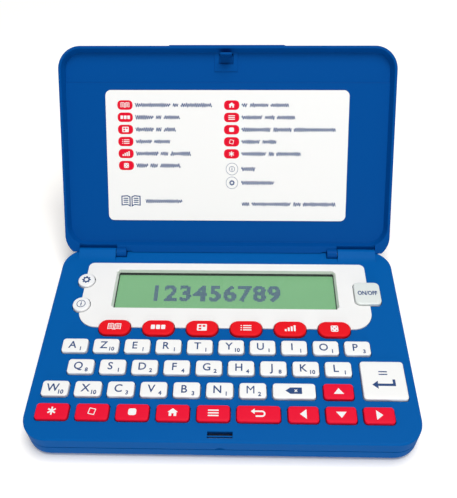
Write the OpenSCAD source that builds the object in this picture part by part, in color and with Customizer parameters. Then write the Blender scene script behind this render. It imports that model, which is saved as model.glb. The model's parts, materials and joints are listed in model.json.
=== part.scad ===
// Electronic dictionary: a pocket keyboard case with a hinged lid, shown open at its stop.
// Millimetres. X runs along the hinge, Y towards the hinge, Z up. The origin is the middle of
// the underside. Distances named "from the front" start at the front edge of the case.

/* [Case] */
// Width of the case
case_w = 132; // [131.8:0.1:150]
// Depth of the case, front edge to hinge edge
case_d = 83.5; // [75:0.1:100]
// Height of the lower shell, up to the seam
lower_h = 6.3; // [6.2:0.1:9]
// Height of the upper shell, from the seam to the face
upper_h = 5.1; // [5.1:0.1:8]
// Corner radius of the outline
corner_r = 9; // [6:0.5:10]
// Thickness of the side walls
wall = 1.8; // [1.5:0.1:2]
// Thickness of the face plate
face_t = 2; // [1.8:0.1:2.2]
// Thickness of the floor
floor_t = 1.6; // [1.6:0.1:2]
// Radius of the rounded bottom edge
bottom_round = 2.5; // [1:0.1:3]
// Radius of the rounded face edge
face_round = 0.6; // [0.3:0.1:1]
// Height and depth of the shadow line at the seam
seam = 0.3; // [0.2:0.05:0.5]
// Height of the lip that locks the two shells together
lip_h = 1; // [0.6:0.1:1.4]
// Thickness of that lip
lip_t = 0.8; // [0.6:0.1:0.9]
// Clearance between pieces that are fixed together
fit_gap = 0.1; // [0.05:0.05:0.15]

/* [Hinge] */
// Hinge axis, from the rear face of the case
hinge_back = 2; // [1.9:0.1:2.4]
// Radius of the hinge barrels and knuckles
barrel_r = 2; // [1.8:0.1:2.1]
// Width of each lid knuckle
knuckle_w = 4; // [3:0.1:5]
// Middle of each knuckle, from the centre line
knuckle_x = 42.8; // [38:0.1:46]
// Outer end of each fixed barrel, from the centre line
barrel_end = 60; // [58:0.5:60]
// Length of the slope from each fixed barrel down to the face
fairing_d = 2.5; // [1:0.1:2.8]
// Width of the arm of a knuckle behind the axis
arm_back = 1.2; // [0.8:0.1:1.4]
// Side clearance of a knuckle in its notch
side_gap = 0.2; // [0.1:0.05:0.3]
// Swing clearance round a barrel
swing_gap = 0.3; // [0.2:0.05:0.4]
// Radius of a hinge pin
pin_r = 0.75; // [0.6:0.05:0.9]
// Length of a hinge pin
pin_len = 11; // [9:0.5:14]
// Clearance of the pin in the fixed barrel
pin_fit = 0.02; // [0.01:0.01:0.03]
// Running clearance of the pin in the knuckle
pin_run = 0.05; // [0.02:0.01:0.08]
// Angle between closed and fully open
open_angle = 127.6; // [110:0.1:140]
// Gap between lid rim and face when closed
lid_gap = 0.2; // [0.1:0.05:0.3]
// Gap between the open lid and the rear face that stops it
stop_gap = 0.15; // [0.1:0.05:0.3]

/* [Lid] */
// Thickness of the lid over its rim
lid_t = 4.8; // [4.6:0.1:7]
// Depth of the hollow inside the rim
lid_hollow = 2.8; // [2.6:0.1:3]
// Width of the rim along front and sides
rim_w = 1; // [0.8:0.1:2]
// Inward slope of the walls of the hollow
hollow_slope = 1.2; // [0.4:0.1:1.6]
// Reach of the rim along the hinge, in front of the axis
rim_back = 3; // [2.8:0.1:4]
// Radius of the rounded outer edge
lid_round = 1.8; // [0.5:0.1:2]
// Height of the raised lower field of the inner face
field_h = 0.3; // [0.1:0.05:0.4]
// Length of that field, from the hinge axis
field_end = 67.8; // [66.5:0.1:70]
// Width of the thumb lip on the free edge
lip_w = 44.8; // [20:0.2:60]
// How far the thumb lip stands out
lip_out = 0.35; // [0.2:0.05:0.6]
// Height of the lower side of the thumb lip above the rim plane
lip_low = 0.4; // [0.2:0.1:0.8]
// Thickness of the thumb lip
lip_tall = 2.2; // [1:0.1:2.6]

/* [Latch] */
// Middle of the latch, from the centre line
latch_x = -0.3; // [-5:0.1:5]
// Width of the slot
slot_w = 8.3; // [7:0.1:10]
// Front edge of the slot, from the front
slot_front = 1.6; // [1.5:0.1:1.9]
// Depth of the slot, front to rear
slot_d = 2.3; // [2.2:0.1:2.5]
// Thickness of the catch bar across the slot
bar_d = 0.5; // [0.4:0.05:0.6]
// Front of the catch bar, from the front edge of the slot
bar_front = 0.6; // [0.5:0.05:0.7]
// Depth of the catch bar's top below the face
bar_low = 0.5; // [0.3:0.1:0.7]
// Height of the catch bar
bar_h = 0.9; // [0.7:0.1:1]
// Width of the hook blade
hook_w = 4.4; // [3:0.1:6]
// Thickness of the hook blade
hook_t = 0.7; // [0.5:0.05:0.8]
// Reach of the hook below the rim plane
hook_reach = 2.6; // [2.4:0.1:3]
// Clearance of hook and catch bar
hook_gap = 0.2; // [0.15:0.05:0.25]
// How far the barb stands out of the blade
barb = 0.1; // [0.05:0.01:0.12]
// Width of the pad round the hook
pad_w = 9; // [7:0.1:12]
// Length of that pad
pad_d = 8.4; // [7:0.1:10]
// Height of that pad
pad_h = 0.35; // [0.2:0.05:0.5]
// Width of the pocket under the hook
pocket_w = 5.6; // [4.8:0.1:6.4]
// Length of that pocket
pocket_d = 3.9; // [3:0.1:4.5]
// Depth of that pocket
pocket_h = 0.6; // [0.3:0.1:0.8]
// Width of the half-moon notch at the seam
notch_w = 3.4; // [2:0.1:5]
// Height of that notch
notch_h = 1; // [0.6:0.1:1.4]
// Depth of that notch
notch_deep = 0.6; // [0.3:0.1:0.9]

/* [Label card] */
// Width of the card in the lid
card_w = 96.4; // [80:0.1:110]
// Length of the card
card_d = 51.8; // [40:0.1:52]
// Thickness of the card
card_t = 0.5; // [0.3:0.05:0.8]
// Corner radius of the card
card_r = 2.2; // [1:0.1:5]
// Middle of the card, from the hinge axis
card_mid = 39.1; // [36:0.1:41]
// Depth of the seat of the card
card_seat = 0.25; // [0.1:0.05:0.4]

/* [Display] */
// Width of the white bezel
bezel_w = 110; // [108:0.1:112]
// Front edge of the bezel, from the front
bezel_front = 44.4; // [43.6:0.1:45]
// Rear edge of the bezel, from the rear face
bezel_back = 7.8; // [6.9:0.1:8.1]
// Thickness of the bezel
bezel_t = 1.4; // [1.2:0.1:1.8]
// Depth of the recess that takes the bezel
bezel_inlay = 1; // [0.8:0.1:1.2]
// Corner radius of the bezel at the hinge side
bezel_rear_r = 2.2; // [1:0.1:4]
// Corner radius of the bezel at the keyboard side
bezel_front_r = 7.5; // [4:0.1:9]
// Width of the window opening
window_w = 85.4; // [80:0.1:87]
// Width of the bezel in front of the window opening
window_front = 8.95; // [8.4:0.05:10]
// Width of the bezel behind the window opening
window_back = 3.55; // [3.2:0.05:5]
// Outward slope of the two side walls of the window
window_slope = 0.6; // [0.2:0.1:0.8]
// Corner radius of the window opening
window_r = 0.8; // [0.4:0.1:1.5]
// Wall of the collar round the window
collar_w = 1.5; // [1.2:0.1:1.7]
// Depth of the window pane below the face
pane_low = 1.6; // [1.5:0.1:1.8]
// Thickness of the window pane
pane_t = 0.8; // [0.6:0.1:0.9]
// Width of the display glass
glass_w = 96; // [92:0.1:96.5]
// Reach of the display glass past the window, front and rear
glass_edge = 2.6; // [2:0.1:2.7]
// Thickness of the display glass
glass_t = 1.1; // [0.9:0.1:1.2]
// Width of each contact strip under the glass
strip_d = 2; // [1.5:0.1:3]
// Length of each contact strip
strip_w = 90; // [60:0.5:92]

/* [Keys] */
// Width of a letter key
letter_w = 9.35; // [8.5:0.05:10]
// Depth of a letter key
letter_d = 5.95; // [5:0.05:6.4]
// Pitch of the letter keys
letter_pitch = 11.266; // [11.1:0.002:11.35]
// Corner radius of the keys
key_r = 1.2; // [0.8:0.05:2]
// Rounding of the upper edge of a key
key_round = 0.35; // [0.2:0.05:0.5]
// How far a key stands out of the face
key_proud = 1; // [0.9:0.05:1.3]
// Clearance of a key in its hole
key_gap = 0.2; // [0.1:0.05:0.3]
// Width of the flange that holds a key in
flange_w = 0.45; // [0.35:0.05:0.55]
// Thickness of that flange
flange_t = 0.7; // [0.5:0.05:0.8]
// Play between flange and face plate
flange_play = 0.1; // [0.05:0.05:0.15]
// Middle of the first letter row: distance from the front
row1_y = 35.95; // [35.7:0.05:36.1]
// Middle of the first letter row: place across
row1_x = -2.84; // [-3:0.02:-2.6]
// Middle of the second letter row: distance from the front
row2_y = 27.28; // [27:0.02:27.5]
// Middle of the second letter row: place across
row2_x = -4.84; // [-6:0.02:-4]
// Middle of the third letter row: distance from the front
row3_y = 18.53; // [18.3:0.01:18.7]
// Middle of the third letter row: place across
row3_x = -23.32; // [-23.6:0.02:-23.2]
// Width of the erase key
erase_w = 14.7; // [13:0.1:15]
// Place of the erase key across
erase_x = 24.5; // [24.3:0.05:24.8]
// Width of the arrow keys
arrow_w = 10.3; // [9:0.1:11]
// Place of the up arrow key across
up_x = 39.5; // [39.3:0.05:39.7]
// Width of the enter key
enter_w = 15.2; // [14:0.1:15.5]
// Depth of the enter key
enter_d = 14.9; // [12:0.1:15]
// Place of the enter key across
enter_x = 55.35; // [54.6:0.05:55.4]
// Middle of the enter key, from the front
enter_y = 23.1; // [22.9:0.05:23.3]
// Depth of the red keys
red_d = 6; // [5.4:0.1:6.4]
// Middle of the red row, from the front
red_y = 9.95; // [9.7:0.05:10]
// Width of the five red keys at the left
red_w = 11.2; // [10:0.1:12.2]
// Pitch of those keys
red_pitch = 13.453; // [13.4:0.001:13.5]
// Place of the third red key across
red_x = -29.56; // [-29.7:0.02:-29.5]
// Width of the back key
back_w = 14.7; // [12:0.1:14.9]
// Place of the back key across
back_x = 12.35; // [12.2:0.05:12.5]
// Pitch of the lower arrow keys
arrow_pitch = 12.45; // [12.4:0.05:12.6]
// Place of the down arrow key across
down_x = 39.6; // [39.4:0.05:39.8]
// Width of an oval function key
oval_w = 11.9; // [10:0.1:12.6]
// Depth of an oval function key
oval_d = 6.7; // [6.65:0.05:7.2]
// Corner radius of an oval function key
oval_r = 3.15; // [2.5:0.05:3.3]
// Pitch of the oval keys
oval_pitch = 16.16; // [15:0.02:16.4]
// Middle of the oval keys, from the front
oval_y = 44; // [43.8:0.05:44.1]
// How far the oval keys stand out of the face
oval_proud = 1.25; // [1.1:0.05:1.6]
// Diameter of the two round buttons
button_dia = 6.7; // [6:0.1:7]
// Place of the round buttons across
button_x = -54.6; // [-54.8:0.05:-54.5]
// Distance between the middles of the two round buttons
button_pitch = 11.8; // [11:0.05:13]
// Middle of that pair, in front of the middle of the window
button_low = 2.45; // [2:0.025:3]
// Width of the power button
power_w = 10.1; // [9:0.1:10.8]
// Depth of the power button
power_d = 10.7; // [10:0.1:12]
// Place of the power button across
power_x = 54.5; // [54.4:0.05:54.8]
// Middle of the power button, in front of the middle of the window
power_low = 2; // [1.7:0.05:2.8]
// Corner radius of the power button
power_r = 2; // [1:0.1:3]
// Travel of every key
travel = 0.8; // [0.5:0.05:0.9]

/* [Inside] */
// Height of the underside of the circuit board
board_z = 5.6; // [5.5:0.05:5.7]
// Thickness of the circuit board
board_t = 1; // [0.8:0.05:1.05]
// Distance from the walls to the board and the key mat
board_gap = 0.8; // [0.7:0.1:1.2]
// Rear edge of the board, from the rear face
board_back = 5.5; // [5.3:0.1:6.3]
// Space left over the key mat by a pressed key
press_left = 0.2; // [0.1:0.05:0.3]
// Rear edge of the key mat, from the front
mat_rear = 48.6; // [48.2:0.1:49.5]
// Radius of the rubber domes
dome_r = 1.9; // [1.2:0.1:2.4]
// Radius of the screw posts
post_r = 1.8; // [1.6:0.05:1.85]
// Clearance of board and mat round a post
post_gap = 0.4; // [0.3:0.05:0.5]
// Distance of the side posts from the case side
post_side = 4.5; // [4.4:0.1:4.6]
// Middle of the side posts, from the front
post_side_y = 42; // [41.5:0.1:44]
// Front posts from the case side
post_front = 16; // [13:0.5:30]
// Middle of the front posts, from the front
post_front_y = 4.15; // [4:0.05:4.2]
// Rear posts from the case side
post_rear = 7.5; // [7:0.1:8]
// Middle of the rear posts, from the rear face
post_back = 8.9; // [8.5:0.1:9.5]
// Radius of the screw thread
screw_r = 0.95; // [0.8:0.05:1]
// Radius of the screw head
head_r = 1.9; // [1.6:0.05:2]
// Height of the screw head
head_h = 1.2; // [1:0.1:1.4]
// Depth of the head below the underside
head_low = 1.2; // [0.8:0.1:1.6]
// Length of the screw under its head
screw_len = 5.6; // [4:0.1:6]
// Clearance round screw and head
screw_gap = 0.2; // [0.1:0.05:0.3]
// Clearance of the screw thread in its post
thread_gap = 0.05; // [0.02:0.01:0.08]
// Depth of the thread hole beyond the screw
thread_spare = 0.6; // [0.3:0.1:0.8]
// Wall of the screw bosses
boss_w = 1; // [0.8:0.1:1.2]
// Thickness of the ribs that carry the board
rib_t = 1.2; // [0.8:0.1:1.6]
// Half length of those ribs
rib_len = 38; // [20:1:45]
// Distances of those ribs from the front
rib_y = [13.5, 33]; // [10:1:40]

/* [Battery] */
// Diameter of a coin cell
cell_dia = 20; // [19:0.1:20.2]
// Thickness of a coin cell
cell_t = 3.2; // [2.5:0.1:3.3]
// Space between the two cells
cell_space = 2; // [1:0.1:4]
// Clearance of the cells in the bay
cell_gap = 0.2; // [0.1:0.05:0.4]
// Middle of the bay, from the rear face
bay_back = 23; // [21.5:0.5:24.5]
// Overlap of the bay walls on the cover
cover_ledge = 0.8; // [0.5:0.1:1.2]
// Thickness of the bay walls
bay_wall = 1.6; // [1.4:0.1:2]
// Thickness of the battery cover
cover_t = 1.4; // [1.2:0.05:1.4]
// How far the cover lies inside the underside
cover_low = 0.15; // [0.1:0.05:0.2]
// Clearance round the cover
cover_gap = 0.25; // [0.2:0.05:0.3]
// Corner radius of the cover
cover_r = 1.5; // [1:0.1:3]
// Width of each cover tongue
tongue_w = 4.4; // [3:0.2:4.6]
// Middle of each tongue, from the side wall of the bay
tongue_side = 2.9; // [2.7:0.1:2.9]
// Reach of a tongue past the cover edge
tongue_out = 1.5; // [1.2:0.1:1.6]
// Thickness of a tongue
tongue_t = 0.9; // [0.7:0.05:1]
// Width of the spring catch
catch_w = 10; // [6:0.5:14]
// Thickness of the spring catch
catch_t = 0.8; // [0.6:0.05:0.9]
// Height of the spring catch
catch_h = 1.6; // [1.2:0.1:1.6]

/* [Hidden] */
$fn = 48;
front = -case_d/2;
base_h = lower_h + upper_h;
face_low = base_h - face_t;
axis_y = case_d/2 - hinge_back;
axis_z = base_h + lid_gap/2;
tilt = open_angle - 90;
inner_w = case_w - 2*wall;
inner_d = case_d - 2*wall;
inner_r = corner_r - wall;
barrel_x = knuckle_x + knuckle_w/2 + side_gap;
notch_x = knuckle_x - knuckle_w/2 - side_gap;
notch_len = barrel_x - notch_x;
swing_r = barrel_r + swing_gap;
flange_z = face_low - flange_play - flange_t;
mat_z = board_z + board_t;
mat_t = flange_z - travel - press_left - mat_z;
board_w = inner_w - 2*board_gap;
board_front = wall + board_gap;
board_rear = case_d - board_back;
recess_z = base_h - bezel_inlay;
bezel_d = case_d - bezel_front - bezel_back;
window_d = bezel_d - window_front - window_back;
window_mid = bezel_front + window_front + window_d/2;
pane_z = base_h - pane_low - pane_t;
glass_gap = fit_gap;
glass_z = pane_z - glass_gap - glass_t;
glass_d = window_d + 2*glass_edge;
collar_out_w = window_w + 2*collar_w;
collar_out_d = window_d + 2*collar_w;
settings_y = window_mid - button_low + button_pitch/2;
info_y = window_mid - button_low - button_pitch/2;
power_y = window_mid - power_low;
bay_y = case_d - bay_back;
cell_z = cover_low + cover_t + cell_gap;
bay_in_w = 2*cell_dia + cell_space + 2*cell_gap;
bay_in_d = cell_dia + 2*cell_gap;
tongue_x = bay_in_w/2 - tongue_side;
cover_hole_w = bay_in_w + 2*cover_ledge;
cover_hole_d = bay_in_d + 2*cover_ledge;
screw_end = head_low + head_h + screw_len;
blade_front = slot_front + bar_front + bar_d + hook_gap;
cut = 1;
far = 400;

posts = [
    for (s = [-1, 1]) each [
        [s*(case_w/2 - post_side), front + post_side_y],
        [s*(case_w/2 - post_front), front + post_front_y],
        [s*(case_w/2 - post_rear), case_d/2 - post_back]
    ]
];

// Each key: name, place across, distance from the front, width, depth, corner radius, height
// above the face, colour.
row1_names = ["key_a", "key_z", "key_e", "key_r", "key_t", "key_y", "key_u", "key_i", "key_o", "key_p"];
row2_names = ["key_q", "key_s", "key_d", "key_f", "key_g", "key_h", "key_j", "key_k", "key_l"];
row3_names = ["key_w", "key_x", "key_c", "key_v", "key_b", "key_n", "key_m"];
red_names = ["key_star", "key_tile", "key_block", "key_home", "key_menu"];
oval_names = [for (i = [1:6]) str("function_key_", i)];
arrow_names = ["key_left", "key_down", "key_right"];

function spread(names, i) = i - (len(names) - 1)/2;
function letter_row(names, x, y) = [
    for (i = [0:len(names) - 1])
        [names[i], x + spread(names, i)*letter_pitch, y, letter_w, letter_d, key_r, key_proud, "white"]
];

keys = concat(
    letter_row(row1_names, row1_x, row1_y),
    letter_row(row2_names, row2_x, row2_y),
    letter_row(row3_names, row3_x, row3_y),
    [
        ["key_erase", erase_x, row3_y, erase_w, letter_d, key_r, key_proud, "white"],
        ["key_up", up_x, row3_y, arrow_w, red_d, key_r, key_proud, "red"],
        ["key_enter", enter_x, enter_y, enter_w, enter_d, key_r, key_proud, "white"],
        ["key_back", back_x, red_y, back_w, red_d, key_r, key_proud, "red"]
    ],
    [
        for (i = [0:len(red_names) - 1])
            [red_names[i], red_x + spread(red_names, i)*red_pitch, red_y, red_w, red_d, key_r,
                key_proud, "red"]
    ],
    [
        for (i = [0:len(arrow_names) - 1])
            [arrow_names[i], down_x + spread(arrow_names, i)*arrow_pitch, red_y, arrow_w, red_d,
                key_r, key_proud, "red"]
    ],
    [
        for (i = [0:len(oval_names) - 1])
            [oval_names[i], spread(oval_names, i)*oval_pitch, oval_y, oval_w, oval_d, oval_r,
                oval_proud, "red"]
    ],
    [
        ["button_settings", button_x, settings_y, button_dia, button_dia, button_dia/2,
            oval_proud, "white"],
        ["button_info", button_x, info_y, button_dia, button_dia, button_dia/2, oval_proud, "white"],
        ["button_power", power_x, power_y, power_w, power_d, power_r, oval_proud, "aliceblue"]
    ]
);

key_names = [for (k = keys) k[0]];

// Rounded rectangle, centred. A radius of half the width makes it a disc.
module round_rect(w, d, r) {
    if (2*r < min(w, d)) {
        square([w - 2*r, d], center = true);
        square([w, d - 2*r], center = true);
        for (x = [-1, 1], y = [-1, 1])
            translate([x*(w/2 - r), y*(d/2 - r)]) circle(r);
    } else {
        circle(r);
    }
}

// Section through an edge, from the inside to the outer face, with rounded corners.
module edge_profile(reach, h, top, bottom) {
    difference() {
        square([reach, h]);
        if (bottom > 0)
            difference() {
                translate([reach - bottom, -cut]) square([bottom + cut, bottom + cut]);
                translate([reach - bottom, bottom]) circle(bottom);
            }
        if (top > 0)
            difference() {
                translate([reach - top, h - top]) square([top + cut, top + cut]);
                translate([reach - top, h - top]) circle(top);
            }
    }
}

// Block with a rounded outline and rounded upper and lower edges, standing on z = 0.
module soft_box(w, d, h, r, top, bottom) {
    inner = [w - 2*r, d - 2*r];
    if (min(inner) <= 0) {
        rotate_extrude() edge_profile(r, h, top, bottom);
    } else {
        translate([-inner[0]/2, -inner[1]/2, 0]) cube([inner[0], inner[1], h]);
        for (a = [0:3]) {
            along = inner[a % 2];
            out = inner[(a + 1) % 2]/2;
            rotate([0, 0, 90*a]) translate([-along/2, out, 0])
                rotate([90, 0, 90]) linear_extrude(along) edge_profile(r, h, top, bottom);
            rotate([0, 0, 90*a]) translate([along/2, out, 0])
                rotate_extrude(angle = 90) edge_profile(r, h, top, bottom);
        }
    }
}

// Pit from below z = 0 up to its floor at h, with walls that lean inwards.
module sloped_pit(w, d, h, r, slope) {
    inner = [w - 2*r, d - 2*r];
    profile = [[0, -cut], [r, -cut], [r, 0], [r - slope, h], [0, h]];
    translate([-inner[0]/2, -inner[1]/2, -cut]) cube([inner[0], inner[1], h + cut]);
    for (a = [0:3]) {
        along = inner[a % 2];
        out = inner[(a + 1) % 2]/2;
        rotate([0, 0, 90*a]) translate([-along/2, out, 0])
            rotate([90, 0, 90]) linear_extrude(along) polygon(profile);
        rotate([0, 0, 90*a]) translate([along/2, out, 0])
            rotate_extrude(angle = 90) polygon(profile);
    }
}

// Outline of the bezel, with its own radius at the front corners.
module bezel_outline(grow) {
    w = bezel_w + 2*grow;
    rear = bezel_rear_r + grow;
    low = bezel_front_r + grow;
    translate([0, front + bezel_front - grow]) {
        translate([-w/2, low]) square([w, bezel_d + 2*grow - low - rear]);
        translate([low - w/2, 0]) square([w - 2*low, bezel_d]);
        translate([rear - w/2, low]) square([w - 2*rear, bezel_d + 2*grow - low]);
        for (s = [-1, 1]) {
            translate([s*(w/2 - low), low]) circle(low);
            translate([s*(w/2 - rear), bezel_d + 2*grow - rear]) circle(rear);
        }
    }
}

// Rounded rectangle in the place of a key, wider by grow on every side.
module key_outline(k, grow) {
    translate([k[1], front + k[2]]) round_rect(k[3] + 2*grow, k[4] + 2*grow, k[5] + grow);
}

// Holes for all keys, through a plate between two heights.
module key_holes(low, high) {
    for (k = keys)
        translate([0, 0, low]) linear_extrude(high - low) key_outline(k, key_gap);
}

module at_posts() {
    for (p = posts) translate([p[0], p[1], 0]) children();
}

module at_window() {
    translate([0, front + window_mid, 0]) children();
}

module at_bay() {
    translate([0, front + bay_y, 0]) children();
}

// Moves to the hinge axis; X runs along it.
module at_axis() {
    translate([0, axis_y, axis_z]) children();
}

// Rod along X between two places, with its middle on the axis.
module rod(x0, x1, r) {
    translate([x0, 0, 0]) rotate([0, 90, 0]) cylinder(h = x1 - x0, r = r);
}

// Both sides of the centre line.
module both_sides() {
    children();
    mirror([1, 0, 0]) children();
}

// Outline of the lip of the lower shell, or with a clearance of its rebate in the upper one.
module lip_ring(gap) {
    difference() {
        round_rect(inner_w + 2*(lip_t + gap), inner_d + 2*(lip_t + gap), inner_r + lip_t + gap);
        round_rect(inner_w - 2*gap, inner_d - 2*gap, inner_r - gap);
    }
}

module lower_housing() {
    color("#005FAC")
    difference() {
        union() {
            difference() {
                union() {
                    soft_box(case_w, case_d, lower_h - seam, corner_r, 0, bottom_round);
                    translate([0, 0, lower_h - seam]) linear_extrude(seam)
                        round_rect(case_w - 2*seam, case_d - 2*seam, corner_r - seam);
                    translate([0, 0, lower_h - seam]) linear_extrude(lip_h + seam) lip_ring(0);
                }
                translate([0, 0, floor_t]) linear_extrude(far)
                    round_rect(inner_w, inner_d, inner_r);
            }
            intersection() {
                at_posts() translate([0, 0, floor_t/2])
                    cylinder(h = board_z - floor_t/2, r = head_r + screw_gap + boss_w);
                translate([0, 0, floor_t/2]) linear_extrude(far)
                    round_rect(inner_w + wall, inner_d + wall, inner_r + wall/2);
            }
            for (y = rib_y)
                translate([-rib_len, front + y - rib_t/2, floor_t/2])
                    cube([2*rib_len, rib_t, board_z - floor_t/2]);
            at_bay() translate([0, 0, floor_t]) linear_extrude(board_z - floor_t)
                difference() {
                    square([bay_in_w + 2*bay_wall, bay_in_d + 2*bay_wall], center = true);
                    square([bay_in_w, bay_in_d], center = true);
                }
        }
        at_posts() {
            translate([0, 0, -cut]) cylinder(h = head_low + head_h + cut, r = head_r + screw_gap);
            translate([0, 0, -cut]) cylinder(h = board_z + 2*cut, r = screw_r + screw_gap);
        }
        at_bay() {
            translate([0, 0, -cut]) linear_extrude(floor_t + cut)
                round_rect(cover_hole_w, cover_hole_d, cover_r);
            for (s = [-1, 1])
                translate([s*tongue_x - tongue_w/2 - cover_gap, -cover_hole_d/2 - bay_wall, floor_t])
                    cube([tongue_w + 2*cover_gap, 2*bay_wall, tongue_t + tongue_out + cover_gap]);
            translate([-catch_w/2 - cover_gap, cover_hole_d/2 - catch_t - 2*cover_gap, floor_t])
                cube([catch_w + 2*cover_gap, bay_wall, catch_h + cover_gap]);
        }
    }
}

// Pocket in the upper shell that takes a lid knuckle, at the right-hand side.
module knuckle_pocket() {
    at_axis() translate([notch_x, 0, 0]) rotate([90, 0, 90]) linear_extrude(notch_len) {
        circle(swing_r);
        rotate(-tilt) translate([0, -arm_back - swing_gap]) square(far);
        translate([-swing_r, 0]) square(far);
    }
}

// Slope from a fixed barrel down to the face, at the right-hand side, axis along X.
module fairing(swing, side) {
    foot = [-barrel_r - fairing_d - swing, base_h - axis_z + swing];
    r = barrel_r + swing - 0.02;
    turn = atan2(foot[1], foot[0]) - acos(r/norm(foot));
    translate([barrel_x - side, 0, 0]) rotate([90, 0, 90])
        linear_extrude(barrel_end - barrel_x + 2*side)
            polygon([foot, [r*cos(turn), r*sin(turn)], [0, 0], [foot[0], -face_t/2]]);
}

module upper_housing() {
    shelf = 0.8;
    pocket_low = axis_z - (hinge_back*sin(tilt) + arm_back + swing_gap)/cos(tilt);
    color("#005FAC")
    difference() {
        union() {
            difference() {
                translate([0, 0, lower_h])
                    soft_box(case_w, case_d, upper_h, corner_r, face_round, 0);
                translate([0, 0, lower_h - cut]) linear_extrude(face_low - lower_h + cut)
                    round_rect(inner_w, inner_d, inner_r);
            }
            at_posts() translate([0, 0, board_z])
                cylinder(h = face_low - board_z + face_t/2, r = post_r);
            both_sides() {
                at_axis() rod(knuckle_x, barrel_end, barrel_r);
                at_axis() fairing(0, 0);
                translate([notch_x - shelf, axis_y - swing_r - shelf, pocket_low - shelf])
                    cube([notch_len + 2*shelf, hinge_back + swing_r + shelf - wall/2,
                        face_low - pocket_low + 2*shelf]);
            }
        }
        translate([0, 0, lower_h - cut]) linear_extrude(lip_h + fit_gap + cut) lip_ring(fit_gap);
        at_posts() translate([0, 0, board_z - cut])
            cylinder(h = screw_end + thread_spare - board_z + cut, r = screw_r + thread_gap);
        key_holes(face_low - cut, base_h + cut);
        translate([0, 0, recess_z]) linear_extrude(far) bezel_outline(fit_gap);
        at_window() translate([0, 0, face_low - cut]) linear_extrude(face_t)
            round_rect(collar_out_w + 2*fit_gap, collar_out_d + 2*fit_gap, window_r + collar_w);
        both_sides() knuckle_pocket();
        both_sides() at_axis() rod(knuckle_x, knuckle_x - knuckle_w/2 + pin_len, pin_r + pin_fit);
        translate([latch_x - slot_w/2, front + slot_front, face_low - cut])
            difference() {
                cube([slot_w, slot_d, face_t + 2*cut]);
                translate([-cut, bar_front, cut + face_t - bar_low - bar_h])
                    cube([slot_w + 2*cut, bar_d, bar_h]);
            }
        notch_r = (notch_w*notch_w/4 + notch_h*notch_h)/(2*notch_h);
        intersection() {
            translate([latch_x, front - cut, lower_h + notch_h - notch_r]) rotate([-90, 0, 0])
                cylinder(h = notch_deep + cut, r = notch_r);
            translate([latch_x - notch_w, front - 2*cut, lower_h - cut])
                cube([2*notch_w, 4*cut, notch_h + 2*cut]);
        }
    }
}

module display_bezel() {
    slope_h = pane_low - bezel_inlay + bezel_t;
    color("white")
    difference() {
        union() {
            translate([0, 0, recess_z]) linear_extrude(bezel_t) bezel_outline(0);
            at_window() translate([0, 0, base_h - pane_low])
                linear_extrude(pane_low - bezel_inlay + bezel_t/2)
                    round_rect(collar_out_w, collar_out_d, window_r + collar_w);
        }
        key_holes(recess_z - cut, base_h + bezel_t + cut);
        at_window() translate([0, 0, pane_z - cut]) linear_extrude(far)
            round_rect(window_w, window_d, window_r);
        both_sides() at_window()
            translate([window_w/2, window_d/2 - window_r, base_h - pane_low]) rotate([90, 0, 0])
                linear_extrude(window_d - 2*window_r)
                    polygon([[-cut, 0], [0, 0], [2*window_slope, 2*slope_h], [-cut, 2*slope_h]]);
    }
}

module display_window() {
    color("gainsboro", 0.4)
    at_window() translate([0, 0, pane_z]) linear_extrude(pane_t)
        round_rect(collar_out_w, collar_out_d, window_r + collar_w);
}

module lcd_panel() {
    color("#81B289")
    at_window() {
        translate([-glass_w/2, -glass_d/2, glass_z]) cube([glass_w, glass_d, glass_t]);
        for (s = [-1, 1])
            translate([-strip_w/2, s*(glass_d - strip_d)/2 - strip_d/2, mat_z])
                cube([strip_w, strip_d, glass_z - mat_z]);
    }
}

module circuit_board() {
    chip = 9;
    chip_t = 1.6;
    clip_w = 5;
    color("darkgreen")
    difference() {
        union() {
            translate([0, front + (board_front + board_rear)/2, board_z]) linear_extrude(board_t)
                round_rect(board_w, board_rear - board_front, inner_r - board_gap);
            translate([-chip/2, front + (rib_y[0] + rib_y[1])/2 - chip/2, board_z - chip_t])
                cube([chip, chip, chip_t + board_t/2]);
            at_bay() for (s = [-1, 1])
                translate([s*(cell_dia + cell_space)/2 - clip_w/2, -cell_dia/4, cell_z + cell_t])
                    cube([clip_w, cell_dia/2, board_z - cell_z - cell_t + board_t/2]);
        }
        at_posts() translate([0, 0, board_z - cut])
            cylinder(h = board_t + 2*cut, r = post_r + post_gap);
    }
}

module key_mat() {
    arm = 5.6;
    left_arm = settings_y + button_dia/2;
    right_arm = power_y + power_d/2;
    color("gray")
    difference() {
        translate([0, 0, mat_z]) union() {
            linear_extrude(mat_t) {
                translate([0, front + (board_front + mat_rear)/2])
                    round_rect(board_w, mat_rear - board_front, inner_r - board_gap);
                translate([button_x - arm + 1, front + mat_rear - arm])
                    square([2*arm - 1, left_arm - mat_rear + arm]);
                translate([power_x - arm, front + mat_rear - arm])
                    square([2*arm, right_arm - mat_rear + arm]);
            }
            for (k = keys)
                translate([k[1], front + k[2], mat_t/2])
                    cylinder(h = flange_z - mat_z - mat_t/2, r = dome_r);
        }
        at_posts() translate([0, 0, mat_z - cut])
            cylinder(h = mat_t + 2*cut, r = post_r + post_gap);
    }
}

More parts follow.
